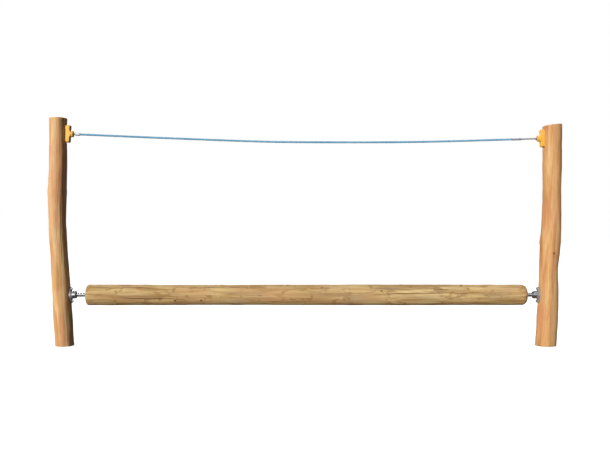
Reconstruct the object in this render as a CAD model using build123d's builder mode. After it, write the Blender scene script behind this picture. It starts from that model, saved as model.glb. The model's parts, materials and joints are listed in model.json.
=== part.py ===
from build123d import *
import math
import os

# Rolling balance log with a hand rope, in millimetres.
#
# Two peeled round posts stand on the ground. A round log turns between them on steel stub axles,
# each carried by a two-bolt flange bearing screwed to its post. A rope is strung between the post
# tops as a handhold, from a moulded anchor on each post.
#
# Origin: ground level, midway between the posts. +X runs along the log and +Z is up.

# ---------------------------------------------------------------- posts
# Each post keeps the line of the tree it was cut from: its axis x and its diameter at the foot and
# at every station_spacing above it.
station_spacing = 200
post_stations = {
    "left": [
        (-1898, 144), (-1910, 146.5), (-1922, 143), (-1935, 137.5), (-1948, 135),
        (-1956, 133.5), (-1958, 141), (-1952, 136), (-1950, 132.5), (-1949, 136),
    ],
    "right": [
        (1899, 160), (1913, 161), (1920, 155), (1924, 148), (1938, 155),
        (1947, 148.5), (1949, 143.5), (1952, 145), (1954, 145), (1955, 145),
    ],
}
post_top_height = {"left": 1796, "right": 1741}
post_top_slope = {"left": 0.0, "right": 6.5}        # degrees, falling towards the log
post_top_rounding = 6
flat_cut = 40                                       # reaches from a flat past the post's surface

# ---------------------------------------------------------------- fits shared by several pieces
fit_gap = 0.05                                      # between pieces pressed or screwed together
washer_hole_gap = 0.5
screw_end_gap = 2

# ---------------------------------------------------------------- log
log_left_x = -1718
log_right_x = 1748
log_radius_left = 82.5
log_radius_half_left = 80
log_radius_middle = 81
log_radius_half_right = 81.5
log_radius_right = 79
log_rounding_left = 15
log_rounding_right = 38
axle_height = 400

# ---------------------------------------------------------------- stub axles and their pins
axle_radius = 15
journal_radius = 12.5
axle_depth_in_log = 250
axle_tip_gap = 1
axle_tip_chamfer = 3
axle_edge_chamfer = 1
journal_overhang = 0.5                              # past the inner ring's back
shoulder_gap = 0.2
pin_radius = 5
pin_half_length = 55
pin_depth_in_log = 170
plug_outer_reach = 76
plug_gap = 1

# ---------------------------------------------------------------- flange bearing units
bearing_x = {"left": -1842, "right": 1835}
seat_tilt = {"left": 3.5, "right": 1.8}             # degrees, the lean of each post at the axle
centre_above_seat = 15
flange_height = 130
flange_width = 68
flange_thickness = 13
flange_hole_spacing = 99
flange_hole_radius = 8
hub_radius = 31
flange_edge_round = 2
hub_height = 27
hub_draft = 3                                       # degrees
slot_gap = 1
seat_flat_height = 152
seat_recess_radius = 22
seat_recess_depth = 8

outer_ring_radius = 26
outer_ring_width = 15
inner_ring_radius = 17
inner_ring_back = 14.3
inner_ring_front = 19.8
raceway_bore_radius = 22.1
ball_count = 9
ball_radius = 3.969
pitch_radius = 19.52
groove_radius = 4.05
cage_half_width = 5.5
cage_thickness = 2
pocket_radius = 4.1
shield_thickness = 1.2
shield_inset = 0.3
shield_running_gap = 0.1
grub_radius = 2.45
grub_length = 4.2
grub_socket_across_flats = 3
grub_socket_depth = 2
grub_position = 15.2
grub_angles = (20, 140)

cover_radius = 30
cover_wall = 2
cover_end = 52
cover_overlap = 4
cover_mouth_radius = 21
cover_seat_gap = 0.2
cover_edge_round = 5
lip_running_gap = 0.08
lip_thickness = 1.6
lip_bevel = 1.5
lip_overlap = 2                                     # over the cover's mouth
lip_blank_radius = 12
lip_clip_gap = 0.1

nipple_lean = 30                                    # degrees above level
nipple_below_hub_end = 8.6
nipple_sink = 3
nipple_hole_radius = 3
nipple_profile = [                                  # how far out, and its radius there
    (-2, 2.9), (3.2, 2.9), (3.2, 4), (6.5, 4), (7.5, 2.2), (9.5, 2.2), (11, 3.2), (12.5, 3.2), (14, 1.4),
]

coach_shank_radius = 6
coach_hole_depth = 92
coach_head_across_flats = 19
coach_head_height = 8
corner_cone_angle = 60                              # degrees, for all hexagon heads and nuts
corner_circle_share = 0.95                          # of the distance across the flats
head_turn = 15                                      # degrees
coach_washer_radius = 14
coach_washer_thickness = 2.5

# ---------------------------------------------------------------- rope anchors
anchor_height = 136
anchor_width = 50
anchor_depth = 42
anchor_corner = 12
anchor_edge = 5
nose_radius_base = 24.7
nose_radius_end = 24
nose_end = 68
nose_root_run = 11
nose_root_rise = 10.2
nose_root_lean = 0.08                               # the flare's slope where it meets the block
nose_overlap = 10                                   # of the nose's profile inside the block
anchor_flat_height = 142
anchor_flat_width = {"left": 200, "right": 54}      # right across the left post, a notch in the right
anchor_screw_spacing = 92
anchor_screw_radius = 5
anchor_screw_depth = 60
anchor_counterbore_radius = 12
anchor_counterbore_floor = 26
anchor_head_across_flats = 16
anchor_head_height = 7
anchor_washer_thickness = 2
anchor_washer_gap = 1

# ---------------------------------------------------------------- rope and its terminals
rope_diameter = 16
# The rope is pulled tight, and eases into a shallow curve that is lowest near its middle.
rope_route = [
    (-1777, 0, 1667.0), (-1580, 0, 1658.3), (-1365, 0, 1649.2), (-1145, 0, 1640.2),
    (-925, 0, 1631.5), (-700, 0, 1622.9), (-475, 0, 1614.8), (-255, 0, 1608.2), (-35, 0, 1606.2),
    (185, 0, 1605.2), (405, 0, 1605.0), (630, 0, 1605.4), (850, 0, 1607.4), (1065, 0, 1611.7),
    (1265, 0, 1617.0), (1450, 0, 1622.4), (1631, 0, 1628.0),
]
terminal_reach = {"left": 119, "right": 269}        # from the anchor's seat to the rope's end
sleeve_length = {"left": 39, "right": 80}
sleeve_radius = {"left": 11, "right": 9}
stud_radius = 6
stud_bore_radius = 6.5
stud_overhang = 2.5                                 # past its back nut
stud_chamfer = 1
sleeve_lead = 4                                     # length of the sleeve's sloping shoulder
sleeve_lip = 1.5
nut_across_flats = 19
nut_thickness = 10
washer_radius = 15
washer_thickness = 2.5
back_depth = {"left": 120, "right": 126}            # from the anchor's seat to the post's far side
back_counterbore_depth = 27
back_counterbore_radius = 18
cap_radius = 23
cap_plug_depth = 6
cap_rim = 1.5
cap_dome = 3.5
cap_plug_gap = 0.1
cap_plug_lead = 0.5
cap_rim_gap = 1
spotface_depth = 4.2                                # below the post's far side
arc_share = 0.45                                    # of each straight run, taken by a bend at one end

sides = ("left", "right")
inward = {"left": 1, "right": -1}                   # the way along X from each post to the log


# ---------------------------------------------------------------- working planes
def square_to(origin, direction):
    """A plane with its z along the direction, which lies in XZ, and its x along +Y."""
    return Plane(origin=origin, x_dir=(0, 1, 0), z_dir=direction)


def lengthwise(plane):
    """The plane through the z axis of a plane, with x along that axis, for profiles to turn."""
    return Plane(origin=plane.origin, x_dir=plane.z_dir, z_dir=(0, -1, 0))


def turning_axis(plane):
    return Axis(plane.origin, plane.z_dir)


def across_corners(across_flats):
    return across_flats / math.sqrt(3)


def chamfer_cone_radius(across_flats, height):
    """Radius, at a hexagon's foot, of the cone that turns off the corners of its outer end."""
    outer_radius = corner_circle_share * across_flats / 2
    return outer_radius + height * math.tan(math.radians(corner_cone_angle))


def rope_end_direction(side):
    """From a rope's end towards its middle."""
    end, second = (rope_route[0], rope_route[1]) if side == "left" else (rope_route[-1], rope_route[-2])
    return (Vector(*second) - Vector(*end)).normalized()


spin = {}       # at each bearing's centre, square to the axle
seat = {}       # on each post's bearing flat
pull = {}       # on each post's anchor flat, square to the rope's end
for side in sides:
    centre = Vector(bearing_x[side], 0, axle_height)
    tilt = math.radians(seat_tilt[side])
    seat_normal = Vector(inward[side] * math.cos(tilt), 0, math.sin(tilt))
    spin[side] = square_to(centre, (inward[side], 0, 0))
    seat[side] = square_to(centre - seat_normal * centre_above_seat, seat_normal)
    rope_end = Vector(*(rope_route[0] if side == "left" else rope_route[-1]))
    rope_direction = rope_end_direction(side)
    pull[side] = square_to(rope_end - rope_direction * terminal_reach[side], rope_direction)


# ---------------------------------------------------------------- posts
def make_post(side):
    """A natural round post with its two flats, its screw holes and the bore for the rope's stud."""
    with BuildPart() as post:
        for count, (axis_x, diameter) in enumerate(post_stations[side]):
            with BuildSketch(Plane.XY.offset(count * station_spacing)):
                with Locations((axis_x, 0)):
                    Circle(diameter / 2)
        loft(ruled=True)
        top_axis_x = post_stations[side][-1][0]
        slope = math.radians(post_top_slope[side])
        top_normal = (inward[side] * math.sin(slope), 0, math.cos(slope))
        top_plane = Plane(origin=(top_axis_x, 0, post_top_height[side]), z_dir=top_normal)
        split(bisect_by=top_plane, keep=Keep.BOTTOM)
        fillet(post.edges().sort_by(Axis.Z)[-1], post_top_rounding)

        # the flat for the bearing, with a shallow recess behind the axle's end
        with BuildSketch(seat[side]):
            Rectangle(2 * flange_height, seat_flat_height)
        extrude(amount=flat_cut, mode=Mode.SUBTRACT)
        with BuildSketch(seat[side]):
            Circle(seat_recess_radius)
        extrude(amount=-seat_recess_depth, mode=Mode.SUBTRACT)
        with BuildSketch(seat[side]):
            with GridLocations(0, flange_hole_spacing, 1, 2):
                Circle(coach_shank_radius)
        extrude(amount=-coach_hole_depth, mode=Mode.SUBTRACT)

        # the seat for the rope anchor, its screw holes and the stud's bore, counterbored behind
        with BuildSketch(pull[side]):
            Rectangle(anchor_flat_width[side], anchor_flat_height)
        extrude(amount=flat_cut, mode=Mode.SUBTRACT)
        with BuildSketch(pull[side]):
            with GridLocations(0, anchor_screw_spacing, 1, 2):
                Circle(anchor_screw_radius)
        extrude(amount=-anchor_screw_depth, mode=Mode.SUBTRACT)
        with BuildSketch(pull[side]):
            Circle(stud_bore_radius)
        extrude(amount=-back_depth[side], mode=Mode.SUBTRACT)
        with BuildSketch(pull[side].offset(back_floor(side))):
            Circle(back_counterbore_radius)
        extrude(amount=-2 * back_counterbore_depth, mode=Mode.SUBTRACT)
        with BuildSketch(pull[side].offset(spotface_depth - back_depth[side])):
            Circle(cap_radius + cap_rim_gap)
        extrude(amount=-back_counterbore_depth, mode=Mode.SUBTRACT)
    post.part.label = f"{side}_post"
    export_step(post.part, f"parts/{side}_post.step")


# ---------------------------------------------------------------- rolling log
def make_log():
    """The round log, bored for its two stub axles and for the pins that hold them."""
    log_axis = Plane(origin=(0, 0, axle_height), x_dir=(1, 0, 0), z_dir=(0, -1, 0))
    with BuildPart() as rolling_log:
        with BuildSketch(log_axis):
            with BuildLine():
                surface = Spline(
                    (log_left_x, log_radius_left),
                    (log_left_x / 2, log_radius_half_left),
                    (0, log_radius_middle),
                    (log_right_x / 2, log_radius_half_right),
                    (log_right_x, log_radius_right),
                )
                Polyline(surface @ 1, (log_right_x, 0), (log_left_x, 0), surface @ 0)
            make_face()
        revolve(axis=Axis((0, 0, axle_height), (1, 0, 0)))
        ends = rolling_log.edges().filter_by(GeomType.CIRCLE).sort_by(Axis.X)
        fillet(ends[0], log_rounding_left)
        fillet(ends[-1], log_rounding_right)
        for end_x, way in ((log_left_x, 1), (log_right_x, -1)):
            with BuildSketch(square_to((end_x, 0, axle_height), (way, 0, 0))):
                Circle(axle_radius + fit_gap)
            extrude(amount=axle_depth_in_log, mode=Mode.SUBTRACT)
            with BuildSketch(Plane.XY.offset(axle_height)):
                with Locations((end_x + way * pin_depth_in_log, 0)):
                    Circle(pin_radius)
            extrude(amount=2 * log_radius_left, both=True, mode=Mode.SUBTRACT)
    rolling_log.part.label = "rolling_log"
    export_step(rolling_log.part, "parts/rolling_log.step")


def pin_place(side):
    end_x = log_left_x if side == "left" else log_right_x
    return end_x + inward[side] * pin_depth_in_log


def make_stub_axle(side):
    """A shouldered steel axle: a journal in the bearing and a thicker shank driven into the log."""
    log_end_x = log_left_x if side == "left" else log_right_x
    shoulder = inner_ring_front + shoulder_gap
    back = -centre_above_seat - journal_overhang
    tip = abs(log_end_x - bearing_x[side]) + axle_depth_in_log - axle_tip_gap
    with BuildPart() as stub_axle:
        with BuildSketch(lengthwise(spin[side])):
            with BuildLine():
                Polyline(
                    (back, 0),
                    (back, journal_radius - axle_edge_chamfer),
                    (back + axle_edge_chamfer, journal_radius),
                    (shoulder, journal_radius),
                    (shoulder, axle_radius - axle_edge_chamfer),
                    (shoulder + axle_edge_chamfer, axle_radius),
                    (tip - axle_tip_chamfer, axle_radius),
                    (tip, axle_radius - axle_tip_chamfer),
                    (tip, 0),
                    close=True,
                )
            make_face()
        revolve(axis=turning_axis(spin[side]))
        with BuildSketch(Plane.XY.offset(axle_height)):
            with Locations((pin_place(side), 0)):
                Circle(pin_radius)
        extrude(amount=2 * axle_radius, both=True, mode=Mode.SUBTRACT)
    stub_axle.part.label = f"{side}_stub_axle"
    export_step(stub_axle.part, f"parts/{side}_stub_axle.step")


def make_axle_pins():
    """Cross pins through the log and both stub axles."""
    with BuildPart() as axle_pins:
        with BuildSketch(Plane.XY.offset(axle_height)):
            for side in sides:
                with Locations((pin_place(side), 0)):
                    Circle(pin_radius - fit_gap)
        extrude(amount=pin_half_length, both=True)
    axle_pins.part.label = "axle_pins"
    export_step(axle_pins.part, "parts/axle_pins.step")


def make_pin_plugs():
    """Wooden plugs that close the pin holes at the log's surface."""
    with BuildPart() as pin_plugs:
        for way in (1, -1):
            with BuildSketch(Plane.XY.offset(axle_height + way * (pin_half_length + plug_gap))):
                for side in sides:
                    with Locations((pin_place(side), 0)):
                        Circle(pin_radius - fit_gap)
            extrude(amount=way * (plug_outer_reach - pin_half_length - plug_gap))
    pin_plugs.part.label = "pin_plugs"
    export_step(pin_plugs.part, "parts/pin_plugs.step")


# ---------------------------------------------------------------- bearing units
def nipple_plane(side):
    """Where the grease nipple screws into the housing: on the hub's side, looking out and up."""
    lean = math.radians(nipple_lean)
    outward_way = seat[side].x_dir * -math.cos(lean) + Vector(0, 0, 1) * math.sin(lean)
    on_axis = seat[side].origin + seat[side].z_dir * (hub_height - nipple_below_hub_end)
    origin = on_axis + outward_way * (hub_radius - nipple_sink)
    return Plane(origin=origin, x_dir=seat[side].z_dir, z_dir=outward_way)


def make_bearing_housing(side):
    """The cast two-bolt housing, with a spherical seat that takes up the lean of the post."""
    face = seat[side]
    ear_radius = (flange_height - flange_hole_spacing) / 2
    with BuildPart() as housing:
        with BuildSketch(face):
            Circle(flange_width / 2)
            with GridLocations(0, flange_hole_spacing, 1, 2):
                Circle(ear_radius)
            make_hull()
        extrude(amount=flange_thickness)
        rim = housing.faces().sort_by(turning_axis(face))[-1].outer_wire().edges()
        fillet(rim, flange_edge_round)
        with BuildSketch(face.offset(flange_thickness)):
            Circle(hub_radius)
        extrude(amount=hub_height - flange_thickness, taper=hub_draft)
        with Locations(spin[side].origin):
            Sphere(outer_ring_radius + fit_gap, mode=Mode.SUBTRACT)
        # two slots that let the insert be slipped in edge on and turned square
        with BuildSketch(face.offset(hub_height)):
            Rectangle(2 * (outer_ring_radius + fit_gap), outer_ring_width + slot_gap)
        extrude(amount=-(hub_height - centre_above_seat), mode=Mode.SUBTRACT)
        # the hub's end is turned down to a spigot that the cover is pressed on
        with BuildSketch(face.offset(hub_height)):
            Circle(flange_width / 2)
            Circle(cover_radius - cover_wall - fit_gap, mode=Mode.SUBTRACT)
        extrude(amount=-cover_overlap, mode=Mode.SUBTRACT)
        with BuildSketch(face):
            with GridLocations(0, flange_hole_spacing, 1, 2):
                Circle(flange_hole_radius)
        extrude(amount=flange_thickness, mode=Mode.SUBTRACT)
        with BuildSketch(nipple_plane(side)):
            Circle(nipple_hole_radius)
        extrude(amount=hub_radius, both=True, mode=Mode.SUBTRACT)
    housing.part.label = f"{side}_bearing_housing"
    export_step(housing.part, f"parts/{side}_bearing_housing.step")


def make_outer_ring(side):
    """The insert's outer ring: spherical outside, with the balls' groove inside."""
    half = outer_ring_width / 2
    edge_radius = math.sqrt(outer_ring_radius ** 2 - half ** 2)
    groove_half = math.sqrt(groove_radius ** 2 - (raceway_bore_radius - pitch_radius) ** 2)
    with BuildPart() as outer_ring:
        with BuildSketch(lengthwise(spin[side])):
            with BuildLine():
                ThreePointArc((-half, edge_radius), (0, outer_ring_radius), (half, edge_radius))
                Polyline((half, edge_radius), (half, raceway_bore_radius),
                         (groove_half, raceway_bore_radius))
                ThreePointArc((groove_half, raceway_bore_radius), (0, pitch_radius + groove_radius),
                              (-groove_half, raceway_bore_radius))
                Polyline((-groove_half, raceway_bore_radius), (-half, raceway_bore_radius),
                         (-half, edge_radius))
            make_face()
        revolve(axis=turning_axis(spin[side]))
    outer_ring.part.label = f"{side}_outer_ring"
    export_step(outer_ring.part, f"parts/{side}_outer_ring.step")


def make_inner_ring(side):
    """The insert's long inner ring, with the balls' groove and two grub screw holes."""
    groove_half = math.sqrt(groove_radius ** 2 - (pitch_radius - inner_ring_radius) ** 2)
    with BuildPart() as inner_ring:
        with BuildSketch(lengthwise(spin[side])):
            with BuildLine():
                ThreePointArc((groove_half, inner_ring_radius), (0, pitch_radius - groove_radius),
                              (-groove_half, inner_ring_radius))
                Polyline(
                    (-groove_half, inner_ring_radius),
                    (-inner_ring_back, inner_ring_radius),
                    (-inner_ring_back, journal_radius),
                    (inner_ring_front, journal_radius),
                    (inner_ring_front, inner_ring_radius),
                    (groove_half, inner_ring_radius),
                )
            make_face()
        revolve(axis=turning_axis(spin[side]))
        for plane in grub_planes(side):
            with BuildSketch(plane):
                Circle(grub_radius + fit_gap)
            extrude(amount=2 * inner_ring_radius, mode=Mode.SUBTRACT)
    inner_ring.part.label = f"{side}_inner_ring"
    export_step(inner_ring.part, f"parts/{side}_inner_ring.step")


def radial_plane(side, angle, position, radius):
    """A plane looking out from the axle, at an angle from +Y and at a place along and off its axis."""
    way = Vector(0, math.cos(math.radians(angle)), math.sin(math.radians(angle)))
    origin = spin[side].origin + spin[side].z_dir * position + way * radius
    return Plane(origin=origin, x_dir=(1, 0, 0), z_dir=way)


def grub_planes(side):
    return [radial_plane(side, angle, grub_position, journal_radius) for angle in grub_angles]


def make_grub_screws(side):
    """Two socket grub screws that lock an inner ring to its journal."""
    with BuildPart() as grub_screws:
        for plane in grub_planes(side):
            with BuildSketch(plane):
                Circle(grub_radius)
            extrude(amount=grub_length)
            with BuildSketch(plane.offset(grub_length)):
                RegularPolygon(across_corners(grub_socket_across_flats), 6)
            extrude(amount=-grub_socket_depth, mode=Mode.SUBTRACT)
    grub_screws.part.label = f"{side}_grub_screws"
    export_step(grub_screws.part, f"parts/{side}_grub_screws.step")


def make_balls(side):
    with BuildPart(spin[side]) as balls:
        with PolarLocations(pitch_radius, ball_count):
            Sphere(ball_radius)
    balls.part.label = f"{side}_bearing_balls"
    export_step(balls.part, f"parts/{side}_bearing_balls.step")


def make_cage(side):
    """The moulded ring that spaces the balls."""
    with BuildPart(spin[side]) as cage:
        Cylinder(pitch_radius + cage_thickness / 2, 2 * cage_half_width)
        Cylinder(pitch_radius - cage_thickness / 2, 2 * cage_half_width, mode=Mode.SUBTRACT)
        for count in range(ball_count):
            around = count * 360 / ball_count
            with BuildSketch(radial_plane(side, around, 0, pitch_radius - cage_thickness)):
                Circle(pocket_radius)
        extrude(amount=2 * cage_thickness, mode=Mode.SUBTRACT)
    cage.part.label = f"{side}_ball_cage"
    export_step(cage.part, f"parts/{side}_ball_cage.step")


def make_shields(side):
    """The two sealing shields, pressed into the outer ring."""
    outermost = outer_ring_width / 2 - shield_inset
    with BuildPart() as shields:
        for start in (-outermost, outermost - shield_thickness):
            with BuildSketch(spin[side].offset(start)):
                Circle(raceway_bore_radius - fit_gap)
                Circle(inner_ring_radius + shield_running_gap, mode=Mode.SUBTRACT)
            extrude(amount=shield_thickness)
    shields.part.label = f"{side}_bearing_shields"
    export_step(shields.part, f"parts/{side}_bearing_shields.step")


def make_end_cover(side):
    """The pressed steel cup that keeps grit out of the bearing, open where the axle passes."""
    inner = cover_radius - cover_wall
    back = hub_height - cover_overlap + cover_seat_gap
    with BuildPart() as end_cover:
        with BuildSketch(lengthwise(seat[side])):
            with BuildLine():
                Polyline(
                    (back, inner), (back, cover_radius), (cover_end, cover_radius),
                    (cover_end, cover_mouth_radius), (cover_end - cover_wall, cover_mouth_radius),
                    (cover_end - cover_wall, inner), close=True,
                )
            make_face()
        revolve(axis=turning_axis(seat[side]))
        front_edges = end_cover.edges().filter_by(GeomType.CIRCLE).sort_by(turning_axis(seat[side]))[-2:]
        rim_edges = [edge for edge in front_edges if edge.radius > cover_mouth_radius + cover_wall]
        fillet(rim_edges, cover_edge_round)
    end_cover.part.label = f"{side}_end_cover"
    export_step(end_cover.part, f"parts/{side}_end_cover.step")


def make_lip_seal(side):
    """The rubber lip clipped into the cover's mouth, which runs on the axle."""
    with BuildPart() as lip_seal:
        with BuildSketch(lengthwise(seat[side])):
            with BuildLine():
                outer = cover_mouth_radius + lip_overlap
                waist = cover_mouth_radius - lip_clip_gap
                inner_face = cover_end - cover_wall - lip_clip_gap
                outer_face = cover_end + lip_clip_gap
                Polyline(
                    (inner_face - lip_thickness, lip_blank_radius), (inner_face - lip_thickness, outer),
                    (inner_face, outer), (inner_face, waist), (outer_face, waist), (outer_face, outer),
                    (outer_face + lip_thickness, outer - lip_bevel),
                    (outer_face + lip_thickness, lip_blank_radius), close=True,
                )
            make_face()
        revolve(axis=turning_axis(seat[side]))
        with BuildSketch(spin[side]):
            Circle(axle_radius + lip_running_gap)
        extrude(amount=2 * cover_end, both=True, mode=Mode.SUBTRACT)
    lip_seal.part.label = f"{side}_lip_seal"
    export_step(lip_seal.part, f"parts/{side}_lip_seal.step")


def make_grease_nipple(side):
    place = nipple_plane(side)
    with BuildPart() as grease_nipple:
        with BuildSketch(Plane(origin=place.origin, x_dir=place.z_dir, z_dir=place.x_dir)):
            with BuildLine():
                Polyline((nipple_profile[0][0], 0), *nipple_profile, (nipple_profile[-1][0], 0), close=True)
            make_face()
        revolve(axis=Axis(place.origin, place.z_dir))
    grease_nipple.part.label = f"{side}_grease_nipple"
    export_step(grease_nipple.part, f"parts/{side}_grease_nipple.step")


def make_flange_screws(side):
    """Two hexagon coach screws that hold a housing to its post."""
    under_head = flange_thickness + coach_washer_thickness
    with BuildPart() as flange_screws:
        with BuildSketch(seat[side].offset(under_head)):
            with GridLocations(0, flange_hole_spacing, 1, 2):
                RegularPolygon(across_corners(coach_head_across_flats), 6, rotation=head_turn)
        extrude(amount=coach_head_height)
        with BuildSketch(seat[side].offset(under_head)):
            with GridLocations(0, flange_hole_spacing, 1, 2):
                Circle(chamfer_cone_radius(coach_head_across_flats, coach_head_height))
        extrude(amount=coach_head_height, taper=corner_cone_angle, mode=Mode.INTERSECT)
        with BuildSketch(seat[side].offset(under_head)):
            with GridLocations(0, flange_hole_spacing, 1, 2):
                Circle(coach_shank_radius - fit_gap)
        extrude(amount=-(under_head + coach_hole_depth - screw_end_gap))
    flange_screws.part.label = f"{side}_flange_screws"
    export_step(flange_screws.part, f"parts/{side}_flange_screws.step")


def make_flange_washers(side):
    with BuildPart() as flange_washers:
        with BuildSketch(seat[side].offset(flange_thickness)):
            with GridLocations(0, flange_hole_spacing, 1, 2):
                Circle(coach_washer_radius)
                Circle(coach_shank_radius + washer_hole_gap, mode=Mode.SUBTRACT)
        extrude(amount=coach_washer_thickness)
    flange_washers.part.label = f"{side}_flange_washers"
    export_step(flange_washers.part, f"parts/{side}_flange_washers.step")


# ---------------------------------------------------------------- rope anchors
def make_rope_anchor(side):
    """The moulded anchor: a tall block screwed to the post, and a round nose for the rope."""
    face = pull[side]
    with BuildPart() as anchor:
        # the nose, flared where it meets the block and no wider than the block
        with BuildSketch(lengthwise(face)):
            with BuildLine():
                root_start = (anchor_depth, nose_radius_base + nose_root_rise)
                root_end = (anchor_depth + nose_root_run, nose_radius_base)
                nose_edge = (nose_end - anchor_edge, nose_radius_end)
                TangentArc(root_end, root_start, tangent=(-1, nose_root_lean))
                Line(root_end, nose_edge)
                end_curve = RadiusArc(nose_edge, (nose_end, nose_radius_end - anchor_edge), anchor_edge)
                Polyline(end_curve @ 1, (nose_end, 0), (anchor_depth - nose_overlap, 0),
                         (anchor_depth - nose_overlap, root_start[1]), root_start)
            make_face()
        revolve(axis=turning_axis(face))
        with BuildSketch(face):
            RectangleRounded(anchor_width, anchor_height, anchor_corner)
        extrude(amount=nose_end, mode=Mode.INTERSECT)
        with BuildSketch(face):
            RectangleRounded(anchor_width, anchor_height, anchor_corner)
        extrude(amount=anchor_depth)
        block_ends = [edge for edge in anchor.edges()
                      if abs(turning_axis(face).direction.dot(edge % 0)) < 0.01
                      and face.to_local_coords(edge @ 0.5).Z > anchor_depth - 0.1]
        fillet(block_ends, anchor_edge)
        with BuildSketch(face):
            Circle(stud_bore_radius)
        extrude(amount=nose_end, mode=Mode.SUBTRACT)
        with BuildSketch(face):
            with GridLocations(0, anchor_screw_spacing, 1, 2):
                Circle(anchor_screw_radius + washer_hole_gap)
        extrude(amount=anchor_depth, mode=Mode.SUBTRACT)
        with BuildSketch(face.offset(anchor_counterbore_floor)):
            with GridLocations(0, anchor_screw_spacing, 1, 2):
                Circle(anchor_counterbore_radius)
        extrude(amount=anchor_depth, mode=Mode.SUBTRACT)
    anchor.part.label = f"{side}_rope_anchor"
    export_step(anchor.part, f"parts/{side}_rope_anchor.step")


def make_anchor_screws(side):
    """Two hexagon coach screws sunk in an anchor's counterbores."""
    under_head = anchor_counterbore_floor + anchor_washer_thickness
    with BuildPart() as anchor_screws:
        with BuildSketch(pull[side].offset(under_head)):
            with GridLocations(0, anchor_screw_spacing, 1, 2):
                RegularPolygon(across_corners(anchor_head_across_flats), 6, rotation=head_turn)
        extrude(amount=anchor_head_height)
        with BuildSketch(pull[side].offset(under_head)):
            with GridLocations(0, anchor_screw_spacing, 1, 2):
                Circle(chamfer_cone_radius(anchor_head_across_flats, anchor_head_height))
        extrude(amount=anchor_head_height, taper=corner_cone_angle, mode=Mode.INTERSECT)
        with BuildSketch(pull[side].offset(under_head)):
            with GridLocations(0, anchor_screw_spacing, 1, 2):
                Circle(anchor_screw_radius - fit_gap)
        extrude(amount=-(under_head + anchor_screw_depth - screw_end_gap))
    anchor_screws.part.label = f"{side}_anchor_screws"
    export_step(anchor_screws.part, f"parts/{side}_anchor_screws.step")


def make_anchor_washers(side):
    with BuildPart() as anchor_washers:
        with BuildSketch(pull[side].offset(anchor_counterbore_floor)):
            with GridLocations(0, anchor_screw_spacing, 1, 2):
                Circle(anchor_counterbore_radius - anchor_washer_gap)
                Circle(anchor_screw_radius + washer_hole_gap, mode=Mode.SUBTRACT)
        extrude(amount=anchor_washer_thickness)
    anchor_washers.part.label = f"{side}_anchor_washers"
    export_step(anchor_washers.part, f"parts/{side}_anchor_washers.step")


# ---------------------------------------------------------------- rope terminals
def back_floor(side):
    """How far behind the anchor's seat the stud's washer sits, as a negative height."""
    return back_counterbore_depth - back_depth[side]


def make_rope_terminal(side):
    """A sleeve swaged on the rope's end, in one piece with the stud that runs through the post."""
    reach = terminal_reach[side]
    sleeve_start = reach - sleeve_length[side]
    stud_end = back_floor(side) - washer_thickness - nut_thickness - stud_overhang
    radius = sleeve_radius[side]
    with BuildPart() as terminal:
        with BuildSketch(lengthwise(pull[side])):
            with BuildLine():
                Polyline(
                    (stud_end, 0), (stud_end, stud_radius - stud_chamfer),
                    (stud_end + stud_chamfer, stud_radius),
                    (sleeve_start, stud_radius), (sleeve_start + sleeve_lead, radius),
                    (reach - sleeve_lip, radius), (reach, radius - stud_chamfer), (reach, 0), close=True,
                )
            make_face()
        revolve(axis=turning_axis(pull[side]))
    terminal.part.label = f"{side}_rope_terminal"
    export_step(terminal.part, f"parts/{side}_rope_terminal.step")


def make_stud_nut(side):
    """The nut on the stud's far end, and on the right a lock nut against the anchor's nose."""
    nut_planes = [pull[side].offset(back_floor(side) - washer_thickness - nut_thickness)]
    if side == "right":
        nut_planes.append(pull[side].offset(nose_end))
    with BuildPart() as stud_nut:
        for plane in nut_planes:
            with BuildSketch(plane):
                RegularPolygon(across_corners(nut_across_flats), 6, rotation=head_turn)
        extrude(amount=nut_thickness)
        for plane in nut_planes:
            with BuildSketch(plane):
                Circle(chamfer_cone_radius(nut_across_flats, nut_thickness))
        extrude(amount=nut_thickness, taper=corner_cone_angle, mode=Mode.INTERSECT)
        for plane in nut_planes:
            with BuildSketch(plane):
                Circle(stud_radius + fit_gap)
        extrude(amount=nut_thickness, mode=Mode.SUBTRACT)
    stud_nut.part.label = f"{side}_stud_nuts" if side == "right" else f"{side}_stud_nut"
    export_step(stud_nut.part, f"parts/{stud_nut.part.label}.step")


def make_stud_washer(side):
    with BuildPart() as stud_washer:
        with BuildSketch(pull[side].offset(back_floor(side))):
            Circle(washer_radius)
            Circle(stud_bore_radius, mode=Mode.SUBTRACT)
        extrude(amount=-washer_thickness)
    stud_washer.part.label = f"{side}_stud_washer"
    export_step(stud_washer.part, f"parts/{side}_stud_washer.step")


def make_stud_cap(side):
    """The domed plug that closes the counterbore, its rim resting on the post's spotface."""
    rest = spotface_depth - back_depth[side]
    dome_radius = (cap_radius ** 2 + cap_dome ** 2) / (2 * cap_dome)
    half_way_rise = math.sqrt(dome_radius ** 2 - (cap_radius / 2) ** 2) - (dome_radius - cap_dome)
    with BuildPart() as stud_cap:
        with BuildSketch(lengthwise(pull[side])):
            with BuildLine():
                Polyline((rest - cap_rim - cap_dome, 0), (rest + cap_plug_depth, 0),
                         (rest + cap_plug_depth, back_counterbore_radius - cap_plug_gap - cap_plug_lead),
                         (rest, back_counterbore_radius - cap_plug_gap), (rest, cap_radius),
                         (rest - cap_rim, cap_radius))
                ThreePointArc((rest - cap_rim, cap_radius),
                              (rest - cap_rim - half_way_rise, cap_radius / 2),
                              (rest - cap_rim - cap_dome, 0))
            make_face()
        revolve(axis=turning_axis(pull[side]))
    stud_cap.part.label = f"{side}_stud_cap"
    export_step(stud_cap.part, f"parts/{side}_stud_cap.step")


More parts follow.
